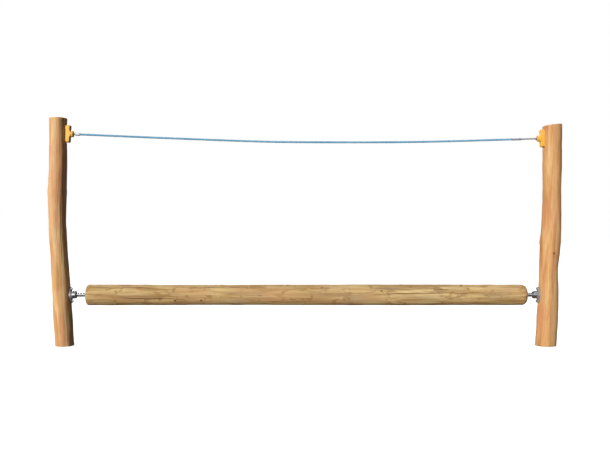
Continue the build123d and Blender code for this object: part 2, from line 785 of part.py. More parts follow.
# ---------------------------------------------------------------- rope
def corner_radii(route):
    """The largest arc at each corner of the route that its two runs leave room for."""
    radii = []
    for before, corner, after in zip(route, route[1:], route[2:]):
        run_in = Vector(*corner) - Vector(*before)
        run_out = Vector(*after) - Vector(*corner)
        half_turn = math.radians(run_in.get_angle(run_out)) / 2
        radii.append(arc_share * min(run_in.length, run_out.length) / math.tan(half_turn))
    return radii


def make_hand_rope():
    """The rope between its two sleeves: straight runs joined by large tangent arcs."""
    radii = corner_radii(rope_route)
    print("rope arc radii in mm:", [round(radius) for radius in radii])
    with BuildPart() as hand_rope:
        with BuildLine() as rope_line:
            FilletPolyline(*rope_route, radius=radii)
        path = rope_line.wires()[0]
        with BuildSketch(Plane(origin=path @ 0, z_dir=path % 0)):
            Circle(rope_diameter / 2)
        sweep()
    section = math.pi * (rope_diameter / 2) ** 2
    length = path.length
    print("rope length in mm:", round(length, 1))
    print("rope volume over section times length:", round(hand_rope.part.volume / (section * length), 5))
    hand_rope.part.label = "hand_rope"
    export_step(hand_rope.part, "parts/hand_rope.step")


make_log()
make_axle_pins()
make_pin_plugs()
make_hand_rope()
for side in sides:
    make_post(side)
    make_stub_axle(side)
    make_bearing_housing(side)
    make_outer_ring(side)
    make_inner_ring(side)
    make_grub_screws(side)
    make_balls(side)
    make_cage(side)
    make_shields(side)
    make_end_cover(side)
    make_lip_seal(side)
    make_grease_nipple(side)
    make_flange_screws(side)
    make_flange_washers(side)
    make_rope_anchor(side)
    make_anchor_screws(side)
    make_anchor_washers(side)
    make_rope_terminal(side)
    make_stud_nut(side)
    make_stud_washer(side)
    make_stud_cap(side)
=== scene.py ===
import json
import math
import random

import bpy
import numpy as np
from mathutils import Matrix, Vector, noise


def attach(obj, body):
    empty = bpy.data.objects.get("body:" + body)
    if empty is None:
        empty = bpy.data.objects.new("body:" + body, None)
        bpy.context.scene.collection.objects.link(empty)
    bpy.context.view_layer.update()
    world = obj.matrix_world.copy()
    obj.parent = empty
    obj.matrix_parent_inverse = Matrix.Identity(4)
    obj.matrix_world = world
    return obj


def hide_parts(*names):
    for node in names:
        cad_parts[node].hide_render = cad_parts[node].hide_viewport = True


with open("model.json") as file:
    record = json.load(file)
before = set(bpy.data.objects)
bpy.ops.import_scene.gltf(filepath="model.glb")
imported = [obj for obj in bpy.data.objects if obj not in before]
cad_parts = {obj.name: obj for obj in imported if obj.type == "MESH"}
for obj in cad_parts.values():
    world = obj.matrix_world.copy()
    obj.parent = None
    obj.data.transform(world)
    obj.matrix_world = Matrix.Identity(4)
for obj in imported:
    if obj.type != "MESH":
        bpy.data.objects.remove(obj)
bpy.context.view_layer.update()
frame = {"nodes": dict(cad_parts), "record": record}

# Metres throughout, in the CAD model's own frame: +X along the log, +Z up, ground at Z = 0.
AXLE_HEIGHT = 0.400
INWARD = {"left": 1, "right": -1}

# ---------------------------------------------------------------- camera
CAMERA_DISTANCE = 5.8
CAMERA_HEIGHT = 0.92
CAMERA_LENS = 43.32

camera_data = bpy.data.cameras.new("camera")
camera_data.sensor_width = 36
camera_data.lens = CAMERA_LENS
camera = bpy.data.objects.new("camera", camera_data)
camera.location = (0, -CAMERA_DISTANCE, CAMERA_HEIGHT)
camera.rotation_euler = (math.radians(90), 0, 0)
bpy.context.scene.collection.objects.link(camera)
bpy.context.scene.camera = camera


# ---------------------------------------------------------------- materials
def srgb(red, green, blue):
    """A colour as it looks on screen, from 0 to 255, turned into the values that a shader takes."""
    def straight(value):
        value /= 255
        return value / 12.92 if value <= 0.04045 else ((value + 0.055) / 1.055) ** 2.4
    return (straight(red), straight(green), straight(blue), 1.0)


class Paint:
    """One material's node tree. Each call adds a node and gives back its output."""

    def __init__(self, name, roughness=0.5, metallic=0.0, **sockets):
        self.material = bpy.data.materials.new(name)
        self.material.use_nodes = True
        self.tree = self.material.node_tree
        self.shader = self.tree.nodes["Principled BSDF"]
        self.shader.inputs["Roughness"].default_value = roughness
        self.shader.inputs["Metallic"].default_value = metallic
        for socket, value in sockets.items():
            self.shader.inputs[socket.replace("_", " ")].default_value = value
        self.place = self.add("ShaderNodeTexCoord").outputs["Object"]

    def add(self, kind, inputs=None, **settings):
        node = self.tree.nodes.new(kind)
        for name, value in settings.items():
            setattr(node, name, value)
        for name, value in (inputs or {}).items():
            if isinstance(value, bpy.types.NodeSocket):
                self.tree.links.new(value, node.inputs[name])
            else:
                node.inputs[name].default_value = value
        return node

    def attribute(self, name, output="Fac"):
        return self.add("ShaderNodeAttribute", attribute_name=name).outputs[output]

    def stretched(self, place, scale):
        return self.add("ShaderNodeMapping", {"Vector": place, "Scale": scale}).outputs["Vector"]

    def noise(self, place, scale, detail=4.0, roughness=0.55, distortion=0.0):
        return self.add("ShaderNodeTexNoise", {
            "Vector": place, "Scale": scale, "Detail": detail, "Roughness": roughness,
            "Distortion": distortion,
        }).outputs["Fac"]

    def cells(self, place, scale, output="Distance"):
        return self.add("ShaderNodeTexVoronoi", {"Vector": place, "Scale": scale}).outputs[output]

    def waves(self, place, scale, distortion):
        return self.add("ShaderNodeTexWave", {
            "Vector": place, "Scale": scale, "Distortion": distortion,
        }, bands_direction="X").outputs["Fac"]

    def ramp(self, factor, *stops):
        """Colours or greys at places from 0 to 1."""
        node = self.add("ShaderNodeValToRGB", {"Fac": factor})
        elements = node.color_ramp.elements
        while len(elements) < len(stops):
            elements.new(0.5)
        for element, (position, colour) in zip(elements, stops):
            element.position = position
            element.color = colour if isinstance(colour, tuple) else (colour, colour, colour, 1.0)
        return node.outputs["Color"]

    def mix(self, factor, first, second, blend="MIX"):
        node = self.add("ShaderNodeMix", data_type="RGBA", blend_type=blend)
        for socket, value in (("Factor", factor), ("A", first), ("B", second)):
            found = [s for s in node.inputs if s.name == socket and s.enabled][0]
            if isinstance(value, bpy.types.NodeSocket):
                self.tree.links.new(value, found)
            else:
                found.default_value = value
        return [s for s in node.outputs if s.enabled][0]

    def math(self, operation, first, second=0.0):
        node = self.add("ShaderNodeMath", operation=operation)
        for socket, value in zip(node.inputs, (first, second)):
            if isinstance(value, bpy.types.NodeSocket):
                self.tree.links.new(value, socket)
            else:
                socket.default_value = value
        return node.outputs["Value"]

    def bump(self, height, strength, distance, under=None):
        inputs = {"Height": height, "Strength": strength, "Distance": distance}
        if under is not None:
            inputs["Normal"] = under
        return self.add("ShaderNodeBump", inputs).outputs["Normal"]

    def finish(self, colour=None, roughness=None, normal=None):
        for socket, value in (("Base Color", colour), ("Roughness", roughness), ("Normal", normal)):
            if value is None:
                continue
            if isinstance(value, bpy.types.NodeSocket):
                self.tree.links.new(value, self.shader.inputs[socket])
            else:
                self.shader.inputs[socket].default_value = value
        return self.material


# painted shade inside the drying checks
CHECK_SHADE_BROWN = srgb(52, 34, 22)


def wood(name, pale, tan, deep, blush, weathered, knot_colour, contrast=0.4, grey_share=0.15,
         patches=0.0):
    """Peeled timber. The mesh carries its grain coordinates, which flow round the knots, and masks
    for knots, drying checks, end grain and planed flats."""
    paint = Paint(name, roughness=0.7, Specular_IOR_Level=0.2)
    grain = paint.attribute("grain", "Vector")
    knot = paint.attribute("knot")
    check = paint.attribute("check")
    end = paint.attribute("end")
    planed = paint.attribute("planed")

    broad = paint.noise(paint.stretched(grain, (1, 1, 0.09)), 26, 3, 0.5, 0.4)
    bands = paint.noise(paint.stretched(grain, (1, 1, 0.035)), 95, 4, 0.6, 0.3)
    fine = paint.noise(paint.stretched(grain, (1, 1, 0.02)), 520, 3, 0.6)
    flecks = paint.noise(paint.stretched(grain, (1, 1, 0.05)), 1500, 2, 0.5)
    blotch = paint.noise(paint.stretched(grain, (1, 1, 0.35)), 7, 3, 0.5, 0.6)
    bleach = paint.noise(paint.stretched(grain, (1, 1, 0.25)), 11, 4, 0.6, 0.3)

    colour = paint.ramp(broad, (0.30, deep), (0.47, tan), (0.62, pale))
    colour = paint.mix(paint.ramp(bands, (0.38, contrast), (0.52, 0.0)), colour, deep)
    colour = paint.mix(paint.ramp(bands, (0.55, 0.0), (0.72, 0.8 * contrast)), colour, pale)
    colour = paint.mix(paint.ramp(blotch, (0.50, 0.0), (0.66, 0.55)), colour, blush)
    if patches:
        patch = paint.noise(paint.stretched(grain, (1, 1, 0.45)), 21, 3, 0.6, 0.8)
        colour = paint.mix(paint.ramp(patch, (0.54, 0.0), (0.63, patches)), colour, deep)
    colour = paint.mix(paint.ramp(bleach, (0.52, 0.0), (0.72, grey_share)), colour, weathered)
    shade = paint.ramp(fine, (0.30, 0.80), (0.55, 1.03))
    colour = paint.mix(1.0, colour, shade, "MULTIPLY")
    colour = paint.mix(1.0, colour, paint.ramp(flecks, (0.28, 0.78), (0.42, 1.0)), "MULTIPLY")
    colour = paint.mix(paint.math("MULTIPLY", planed, 0.45), colour, pale)

    ring_place = paint.attribute("rings")
    rings = paint.math("FRACT", paint.math("ADD", ring_place, paint.math("MULTIPLY", blotch, 1.3)))
    ring_shade = paint.ramp(rings, (0.0, deep), (0.3, pale), (0.7, tan), (1.0, deep))
    colour = paint.mix(end, colour, paint.mix(0.35, ring_shade, weathered))
    colour = paint.mix(paint.ramp(knot, (0.25, 0.0), (0.85, 0.9)), colour, knot_colour)
    # painted shade: dark brown laid into the drying checks, which are carved grooves
    colour = paint.mix(paint.ramp(check, (0.1, 0.0), (0.8, 0.92)), colour, CHECK_SHADE_BROWN)

    height = paint.math("ADD", paint.math("MULTIPLY", bands, 0.6), paint.math("MULTIPLY", fine, 0.4))
    height = paint.math("SUBTRACT", height, paint.math("MULTIPLY", flecks, 0.12))
    normal = paint.bump(height, 0.55, 0.0022)
    roughness = paint.ramp(fine, (0.3, 0.82), (0.7, 0.60))
    return paint.finish(colour, roughness, normal)


def metal(name, colour, dark, roughness, brushed=None):
    """Bare metal with fine working marks, faint stains and small dents."""
    paint = Paint(name, roughness=roughness, metallic=1.0)
    place = paint.stretched(paint.place, brushed) if brushed else paint.place
    marks = paint.noise(place, 900, 3, 0.6)
    stains = paint.noise(paint.place, 60, 5, 0.65)
    tone = paint.mix(paint.ramp(stains, (0.45, 0.0), (0.75, 0.7)), colour, dark)
    tone = paint.mix(paint.ramp(marks, (0.3, 0.25), (0.6, 0.0)), tone, dark)
    rough = paint.ramp(marks, (0.25, min(1.0, roughness + 0.15)), (0.75, max(0.05, roughness - 0.08)))
    return paint.finish(tone, rough, paint.bump(marks, 0.35, 0.0002))


def galvanised(name):
    """Zinc coating, with its crystal spangle and white bloom."""
    paint = Paint(name, roughness=0.42, metallic=0.9)
    spangle = paint.cells(paint.place, 420, "Color")
    bloom = paint.noise(paint.place, 130, 5, 0.7)
    tone = paint.ramp(spangle, (0.1, srgb(150, 152, 153)), (0.9, srgb(205, 207, 208)))
    tone = paint.mix(paint.ramp(bloom, (0.55, 0.0), (0.8, 0.6)), tone, srgb(222, 222, 218))
    rough = paint.ramp(bloom, (0.3, 0.34), (0.8, 0.72))
    return paint.finish(tone, rough, paint.bump(bloom, 0.25, 0.0004))


def cast_paint(name, colour, chipped):
    """Painted cast iron: a pebbled casting skin, patches of dust, and chips down to rusty iron."""
    paint = Paint(name, roughness=0.5, metallic=0.25)
    skin = paint.noise(paint.place, 700, 4, 0.6)
    dust = paint.noise(paint.place, 45, 4, 0.6)
    chips = paint.noise(paint.place, 160, 5, 0.75)
    tone = paint.mix(paint.ramp(dust, (0.4, 0.0), (0.75, 0.5)), colour, srgb(148, 143, 133))
    tone = paint.mix(paint.ramp(chips, (0.64, 0.0), (0.68, 0.9)), tone, chipped)
    rough = paint.ramp(dust, (0.3, 0.42), (0.8, 0.75))
    return paint.finish(tone, rough, paint.bump(skin, 0.5, 0.0007, paint.bump(chips, 0.2, 0.0006)))


def moulded(name, colour, worn, roughness, grain=1400, coat=0.0):
    """Moulded plastic or rubber, with a fine mould grain, scuffs and a little fading."""
    paint = Paint(name, roughness=roughness, Coat_Weight=coat, Coat_Roughness=0.25)
    texture = paint.cells(paint.place, grain)
    fading = paint.noise(paint.place, 28, 4, 0.6)
    scuffs = paint.noise(paint.stretched(paint.place, (1, 1, 0.2)), 260, 4, 0.7)
    tone = paint.mix(paint.ramp(fading, (0.4, 0.0), (0.8, 0.55)), colour, worn)
    tone = paint.mix(paint.ramp(scuffs, (0.62, 0.0), (0.75, 0.4)), tone, worn)
    rough = paint.ramp(scuffs, (0.35, roughness), (0.8, min(1.0, roughness + 0.3)))
    return paint.finish(tone, rough, paint.bump(texture, 0.25, 0.0003))


def rope_fibre(name):
    """Blue laid fibre: yarns twisted along each strand, faded where hands and sun reach."""
    paint = Paint(name, roughness=0.62, Sheen_Weight=0.35, Sheen_Roughness=0.45)
    yarn = paint.attribute("yarn", "Vector")
    stripes = paint.waves(yarn, 1.0, 0.6)
    fibres = paint.noise(paint.stretched(yarn, (6, 1, 1)), 3.0, 4, 0.7)
    fading = paint.noise(paint.stretched(paint.place, (0.5, 1, 1)), 9, 4, 0.6)
    tone = paint.mix(paint.ramp(fading, (0.35, 0.0), (0.7, 0.8)), srgb(104, 180, 220), srgb(156, 212, 238))
    # painted shade: darker blue in the grooves between the yarns, where the stripes' bump is lowest
    tone = paint.mix(paint.ramp(stripes, (0.0, 0.55), (0.45, 0.0)), tone, srgb(66, 130, 172))
    tone = paint.mix(paint.ramp(fibres, (0.6, 0.0), (0.8, 0.4)), tone, srgb(190, 220, 234))
    normal = paint.bump(stripes, 0.8, 0.0006, paint.bump(fibres, 0.4, 0.0003))
    return paint.finish(tone, paint.ramp(fibres, (0.3, 0.55), (0.8, 0.8)), normal)


left_post_wood = wood("left_post_wood", pale=srgb(238, 200, 148), tan=srgb(226, 176, 118),
                      deep=srgb(200, 144, 90), blush=srgb(220, 154, 112), weathered=srgb(212, 186, 146),
                      knot_colour=srgb(118, 74, 44))
# painted shade: the right post's wood is the left post's made darker, standing in for less key light on
# that post
right_post_shaded_wood = wood("right_post_shaded_wood", pale=srgb(226, 184, 130), tan=srgb(216, 162, 106),
                       deep=srgb(190, 134, 84), blush=srgb(212, 144, 102),
                       weathered=srgb(204, 172, 128), knot_colour=srgb(96, 60, 36))
log_wood = wood("log_wood", pale=srgb(224, 194, 138), tan=srgb(206, 172, 116), deep=srgb(166, 128, 80),
                blush=srgb(204, 158, 112), weathered=srgb(184, 170, 144), knot_colour=srgb(96, 66, 42),
                contrast=0.7, grey_share=0.35, patches=0.8)

finishes = {
    "log_wood": log_wood,
    "post_wood": left_post_wood,
    "plug_wood": moulded("plug_wood", srgb(176, 132, 84), srgb(140, 104, 66), 0.8, grain=900),
    "axle_steel": metal("axle_steel", srgb(205, 206, 208), srgb(120, 118, 116), 0.22, brushed=(20, 1, 1)),
    "bearing_steel": metal("bearing_steel", srgb(198, 200, 204), srgb(140, 140, 142), 0.16),
    "housing_iron": cast_paint("housing_iron", srgb(150, 152, 156), srgb(104, 74, 56)),
    "cover_steel": metal("cover_steel", srgb(186, 188, 192), srgb(96, 95, 95), 0.30, brushed=(1, 1, 8)),
    "fastener_steel": galvanised("fastener_steel"),
    "terminal_steel": metal("terminal_steel", srgb(204, 208, 218), srgb(128, 128, 134), 0.42,
                            brushed=(0.2, 1, 1)),
    "nipple_brass": metal("nipple_brass", srgb(205, 178, 110), srgb(120, 96, 54), 0.3),
    "cage_plastic": moulded("cage_plastic", srgb(214, 202, 172), srgb(190, 174, 140), 0.5),
    "seal_rubber": moulded("seal_rubber", srgb(34, 33, 33), srgb(66, 64, 62), 0.75, grain=2200),
    "yellow_plastic": moulded("yellow_plastic", srgb(246, 184, 66), srgb(250, 206, 116), 0.42, coat=0.15),
    "cap_plastic": moulded("cap_plastic", srgb(30, 30, 31), srgb(70, 69, 68), 0.5),
    "blue_rope": rope_fibre("blue_rope"),
}
node_slots = {entry["node"]: entry["material_slot"] for entry in frame["record"]["subparts"]}
for node_name, node_object in frame["nodes"].items():
    node_object.data.materials.clear()
    node_object.data.materials.append(finishes[node_slots[node_name]])


# ---------------------------------------------------------------- mesh helpers
def make_piece(name, points, faces, material, body, replaced):
    """A mesh piece on one body, with its material and the CAD nodes that it stands for."""
    mesh = bpy.data.meshes.new(name)
    mesh.from_pydata([tuple(point) for point in points], [], faces)
    mesh.polygons.foreach_set("use_smooth", [True] * len(mesh.polygons))
    mesh.materials.append(material)
    piece = bpy.data.objects.new(name, mesh)
    bpy.context.scene.collection.objects.link(piece)
    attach(piece, body)
    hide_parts(*replaced)
    return piece


def carry(piece, name, values):
    """Writes numbers or vectors on the mesh's points, for the material to read."""
    values = np.asarray(values, np.float32)
    kind, field = ("FLOAT_VECTOR", "vector") if values.ndim == 2 else ("FLOAT", "value")
    attribute = piece.data.attributes.new(name, kind, "POINT")
    attribute.data.foreach_set(field, values.ravel())


def tube_faces(rings, around, first=0):
    """Quads between neighbouring rings of points."""
    faces = []
    for ring in range(rings - 1):
        start = first + ring * around
        for step in range(around):
            following = (step + 1) % around
            faces.append((start + step, start + following,
                          start + around + following, start + around + step))
    return faces


# ---------------------------------------------------------------- hand rope
ROPE_DIAMETER = 0.016
ROPE_STRANDS = 6
STRANDS_ACROSS = 3
ROPE_LAY = 0.112
ROPE_STEP = 0.003
STRAND_AROUND = 12
STRAND_SLACK = 0.03
CORE_SWELL = 1.04
YARNS = 7
YARN_LAY = 0.014
# The same route as the CAD tube: pulled tight, and lowest near its middle.
rope_route = [
    (-1.777, 0, 1.6670), (-1.580, 0, 1.6583), (-1.365, 0, 1.6492), (-1.145, 0, 1.6402),
    (-0.925, 0, 1.6315), (-0.700, 0, 1.6229), (-0.475, 0, 1.6148), (-0.255, 0, 1.6082), (-0.035, 0, 1.6062),
    (0.185, 0, 1.6052), (0.405, 0, 1.6050), (0.630, 0, 1.6054), (0.850, 0, 1.6074), (1.065, 0, 1.6117),
    (1.265, 0, 1.6170), (1.450, 0, 1.6224), (1.631, 0, 1.6280),
]


def read_route(route):
    """Points along the smooth NURBS line whose control points are the route's."""
    curve = bpy.data.curves.new("rope_line", "CURVE")
    curve.dimensions = "3D"
    curve.resolution_u = 24
    spline = curve.splines.new("NURBS")
    spline.points.add(len(route) - 1)
    for point, place in zip(spline.points, route):
        point.co = (*place, 1)
    spline.order_u = 3
    spline.use_endpoint_u = True
    holder = bpy.data.objects.new("rope_line", curve)
    bpy.context.scene.collection.objects.link(holder)
    bpy.context.view_layer.update()
    mesh = bpy.data.meshes.new_from_object(holder)
    points = np.array([vertex.co[:] for vertex in mesh.vertices])
    bpy.data.objects.remove(holder)
    bpy.data.meshes.remove(mesh)
    return points


def spaced(points, step):
    """The same line, read again at even steps."""
    travelled = np.concatenate([[0], np.cumsum(np.linalg.norm(np.diff(points, axis=0), axis=1))])
    places = np.linspace(0, travelled[-1], int(round(travelled[-1] / step)) + 1)
    return places, np.stack([np.interp(places, travelled, points[:, axis]) for axis in range(3)], axis=1)


def make_rope():
    """Six strands laid round a core, following the rope's line."""
    travelled, line = spaced(read_route(rope_route), ROPE_STEP)
    along = np.gradient(line, axis=0)
    along /= np.linalg.norm(along, axis=1)[:, None]
    side = np.tile([0.0, 1.0, 0.0], (len(line), 1))
    above = np.cross(side, along)
    strand_radius = ROPE_DIAMETER / STRANDS_ACROSS / 2
    lay_radius = ROPE_DIAMETER / 2 - strand_radius
    points, yarns, faces = [], [], []
    turn = np.linspace(0, 2 * math.pi, STRAND_AROUND, endpoint=False)
    for strand in range(ROPE_STRANDS + 1):
        core = strand == ROPE_STRANDS
        phase = 2 * math.pi * (travelled / ROPE_LAY + strand / ROPE_STRANDS)
        outward = np.cos(phase)[:, None] * side + np.sin(phase)[:, None] * above
        sideways = np.cross(along, outward)
        middle = line + (0 if core else lay_radius) * outward
        slack = 1 + STRAND_SLACK * np.sin(travelled * 23 + strand * 1.7)
        first = len(points)
        for ring in range(len(line)):
            for angle in turn:
                radius = strand_radius * slack[ring] * (CORE_SWELL if core else 1.0)
                points.append(middle[ring] + radius * (math.cos(angle) * outward[ring] * 0.98
                                                       + math.sin(angle) * sideways[ring] * 1.03))
                twist = YARNS * angle / math.tau - travelled[ring] / YARN_LAY
                yarns.append((twist, strand * 3.7, travelled[ring] * 60))
        faces += tube_faces(len(line), STRAND_AROUND, first)
        last = first + (len(line) - 1) * STRAND_AROUND
        faces.append(tuple(range(first + STRAND_AROUND - 1, first - 1, -1)))
        faces.append(tuple(range(last, last + STRAND_AROUND)))
    rope = make_piece("laid_hand_rope", points, faces, finishes["blue_rope"], "frame",
                      ["hand_rope"])
    carry(rope, "yarn", yarns)


make_rope()


# ---------------------------------------------------------------- natural round timber
def smooth_line(places, values, wanted):
    """Values at the wanted places on a smooth line through the given ones."""
    places, values, wanted = (np.asarray(numbers, float) for numbers in (places, values, wanted))
    slopes = np.gradient(values, places)
    index = np.clip(np.searchsorted(places, wanted) - 1, 0, len(places) - 2)
    gap = places[index + 1] - places[index]
    t = np.clip((wanted - places[index]) / gap, 0, 1)
    return ((2 * t ** 3 - 3 * t ** 2 + 1) * values[index] + (t ** 3 - 2 * t ** 2 + t) * gap * slopes[index]
            + (-2 * t ** 3 + 3 * t ** 2) * values[index + 1] + (t ** 3 - t ** 2) * gap * slopes[index + 1])


def field(points, scale, seed):
    """Smooth noise from about -1 to 1 at each point, with a scale for each axis."""
    shifted = points * np.asarray(scale) + seed
    return np.fromiter((noise.noise(Vector(place)) for place in shifted), float, len(shifted))


TIMBER_AROUND = 224
END_LEVELS = 9
GROWTH_RING = 0.0035


class Timber:
    """A round timber built ring by ring along one axis, with lumps, knots and drying checks."""

    def __init__(self, name, along, across, places, centres, radii, seed):
        around = TIMBER_AROUND
        self.name, self.seed, self.around = name, seed, around
        self.along, self.first, self.second = (np.array(v, float) for v in (along, *across))
        self.rings = len(places)
        self.place = np.repeat(places, around)
        self.angle = np.tile(np.linspace(0, 2 * math.pi, around, endpoint=False), self.rings)
        self.centre = np.repeat(centres, around, axis=0)
        self.radius = np.repeat(radii, around)
        self.base_radius = self.radius.copy()
        self.grain_angle = self.angle.copy()
        self.knot = np.zeros(len(self.place))
        self.check = np.zeros(len(self.place))
        self.outward = np.cos(self.angle)[:, None] * self.first + np.sin(self.angle)[:, None] * self.second

    def surface(self):
        return self.centre + self.outward * self.radius[:, None]

    def lumps(self, height, length, seed):
        """Slow swellings, as long as given along the timber and about a third of that across."""
        samples = np.stack([np.cos(self.angle), np.sin(self.angle), self.place / length], axis=1)
        self.radius += height * field(samples, (1.3, 1.3, 1.0), self.seed + seed)

    def facets(self, height, seed):
        """The shallow long strokes that a peeling knife leaves."""
        samples = np.stack([np.cos(self.angle), np.sin(self.angle), self.place], axis=1)
        self.radius += height * field(samples, (6.0, 6.0, 3.5), self.seed + seed)
        self.radius += 0.5 * height * field(samples, (13.0, 13.0, 9.0), self.seed + seed + 5)

    def offsets(self, place, angle):
        """How far each point is from a spot, along the timber and around it."""
        turn = (self.angle - angle + math.pi) % (2 * math.pi) - math.pi
        return self.place - place, turn * self.base_radius

    def add_knot(self, place, angle, size, height):
        """A branch stub cut flush: a raised collar, a sunken heart, and grain that flows round it."""
        lengthwise, sideways = self.offsets(place, angle)
        wobble = 1 + 0.12 * np.sin(3 * np.arctan2(sideways, lengthwise) + place * 40)
        distance = np.hypot(lengthwise / 1.25, sideways) / (size * wobble)
        self.radius += height * np.exp(-(distance / 1.9) ** 2)
        self.radius -= 0.45 * height * np.exp(-(distance / 0.75) ** 2)
        rings = 0.5 + 0.5 * np.cos(distance * 11)
        heart = np.clip(1.25 - distance, 0, 1)
        self.knot = np.maximum(self.knot, np.clip(heart * (0.72 + 0.28 * rings) * 1.5, 0, 1))
        reach = np.exp(-(np.hypot(lengthwise / 3.2, sideways / 1.6) / size) ** 2)
        self.grain_angle -= 0.8 * reach * sideways / self.base_radius

    def add_check(self, start, end, angle, width, depth, drift):
        """A drying crack that runs with the grain and closes at both ends."""
        progress = (self.place - start) / (end - start)
        inside = (progress > 0) & (progress < 1)
        wander = 0.0022 * np.sin(self.place * 19 + angle * 7) + 0.0008 * np.sin(self.place * 47 + angle)
        _, sideways = self.offsets(0, angle)
        sideways = sideways - wander - drift * (progress - 0.5)
        closing = np.where(inside, np.sqrt(np.clip(np.sin(math.pi * progress), 0, 1)), 0)
        opening = width * (0.75 + 0.25 * closing)
        cut = closing * np.clip(1 - np.abs(sideways) / opening, 0, 1)
        self.radius -= depth * cut
        self.check = np.maximum(self.check, np.clip(cut * 1.5, 0, 1))

    def cap(self, points, ring):
        """Points that close one end, level by level to the middle, and each level's share of the rim."""
        rim = points[ring * self.around:(ring + 1) * self.around]
        middle = rim.mean(axis=0)
        shares = np.linspace(1, 0, END_LEVELS + 2)[1:-1]
        levels = [middle + (rim - middle) * share for share in shares]
        return np.concatenate(levels + [middle[None]]), shares


def build_timber(timber, material, body, replaced, shape_surface):
    """Turns a timber into a closed mesh. shape_surface moves the finished points, and returns them
    with a mask of what was planed."""
    surface, planed = shape_surface(timber.surface())
    around, rings = timber.around, timber.rings
    parts, end_mask, ring_values = [surface], [np.zeros(len(surface))], [np.zeros(len(surface))]
    faces = tube_faces(rings, around)
    count = len(surface)
    for ring in (0, rings - 1):
        inner, shares = timber.cap(surface, ring)
        levels = len(shares)
        rim_radius = timber.radius[ring * around]
        outer = list(range(ring * around, (ring + 1) * around))
        for level in range(levels):
            this = list(range(count + level * around, count + (level + 1) * around))
            for step in range(around):
                following = (step + 1) % around
                quad = (outer[step], outer[following], this[following], this[step])
                faces.append(quad[::-1] if ring == 0 else quad)
            outer = this
        hub = count + levels * around
        for step in range(around):
            triangle = (outer[step], outer[(step + 1) % around], hub)
            faces.append(triangle[::-1] if ring == 0 else triangle)
        parts.append(inner)
        end_mask.append(np.ones(len(inner)))
        distance = np.concatenate([np.repeat(shares, around), [0]]) * rim_radius
        ring_values.append(distance / GROWTH_RING)
        count += len(inner)
    points = np.concatenate(parts)
    piece = make_piece(f"{timber.name}_timber", points, faces, material, body, replaced)
    extra = len(points) - len(surface)
    grain = np.stack([timber.base_radius * np.cos(timber.grain_angle) + timber.seed,
                      timber.base_radius * np.sin(timber.grain_angle), timber.place], axis=1)
    inner_points = points[len(surface):]
    from_middle = inner_points - inner_points.mean(axis=0)
    inner_grain = np.stack([from_middle @ timber.first + timber.seed, from_middle @ timber.second,
                            inner_points @ timber.along], axis=1)
    carry(piece, "grain", np.concatenate([grain, inner_grain]))
    carry(piece, "knot", np.concatenate([timber.knot, np.zeros(extra)]))
    carry(piece, "check", np.concatenate([timber.check, np.zeros(extra)]))
    carry(piece, "planed", np.concatenate([planed, np.zeros(extra)]))
    carry(piece, "end", np.concatenate(end_mask))
    carry(piece, "rings", np.concatenate(ring_values))


def ring_places(length, spacing, rounding_start, rounding_end, extra=()):
    """Places of a timber's rings: even along it, and closer on its rounded ends and at its ledges."""
    even = np.arange(rounding_start, length - rounding_end, spacing)
    turn = np.linspace(0, math.pi / 2, 9)
    start = rounding_start * (1 - np.cos(turn))
    end = length - rounding_end * (1 - np.cos(turn))
    return np.unique(np.round(np.concatenate([start, even, end, np.asarray(extra, float)]), 5))


def rounded_radius(places, length, rounding_start, rounding_end, radii):
    """The radius with both ends rounded over."""
    result = radii.copy()
    for rounding, distance in ((rounding_start, places), (rounding_end, length - places)):
        short = np.clip(rounding - distance, 0, rounding)
        result -= rounding - np.sqrt(np.maximum(rounding ** 2 - short ** 2, 0))
    return result


# ---------------------------------------------------------------- posts
STATION_SPACING = 0.2
post_stations = {
    "left": [
        (-1.898, 0.144), (-1.910, 0.1465), (-1.922, 0.143), (-1.935, 0.1375), (-1.948, 0.135),
        (-1.956, 0.1335), (-1.958, 0.141), (-1.952, 0.136), (-1.950, 0.1325), (-1.949, 0.136),
    ],
    "right": [
        (1.899, 0.160), (1.913, 0.161), (1.920, 0.155), (1.924, 0.148), (1.938, 0.155),
        (1.947, 0.1485), (1.949, 0.1435), (1.952, 0.145), (1.954, 0.145), (1.955, 0.145),
    ],
}
POST_TOP = {"left": 1.796, "right": 1.741}
POST_TOP_SLOPE = {"left": 0.0, "right": math.radians(6.5)}
TOP_ROUNDING = 0.007
FOOT_ROUNDING = 0.002
BEARING_X = {"left": -1.842, "right": 1.835}
SEAT_TILT = {"left": math.radians(3.5), "right": math.radians(1.8)}
CENTRE_ABOVE_SEAT = 0.015
SEAT_FLAT_HEIGHT = 0.152
SEAT_FLAT_WIDTH = 0.200
ANCHOR_FLAT_HEIGHT = 0.142
ANCHOR_FLAT_WIDTH = {"left": 0.200, "right": 0.054}
TERMINAL_REACH = {"left": 0.119, "right": 0.269}
BACK_DEPTH = {"left": 0.120, "right": 0.126}
SPOTFACE_DEPTH = 0.0042
SPOTFACE_RADIUS = 0.024
POST_RING_SPACING = 0.006
FLAT_RING_SPACING = 0.0035
LEDGE_HALF_WIDTH = 0.0006
TOP_SLOPE_REACH = 0.12


def rope_end(side):
    """A rope's end point, and its direction from the post towards the rope's middle."""
    end, second = (rope_route[0], rope_route[1]) if side == "left" else (rope_route[-1], rope_route[-2])
    direction = np.array(second) - np.array(end)
    return np.array(end), direction / np.linalg.norm(direction)


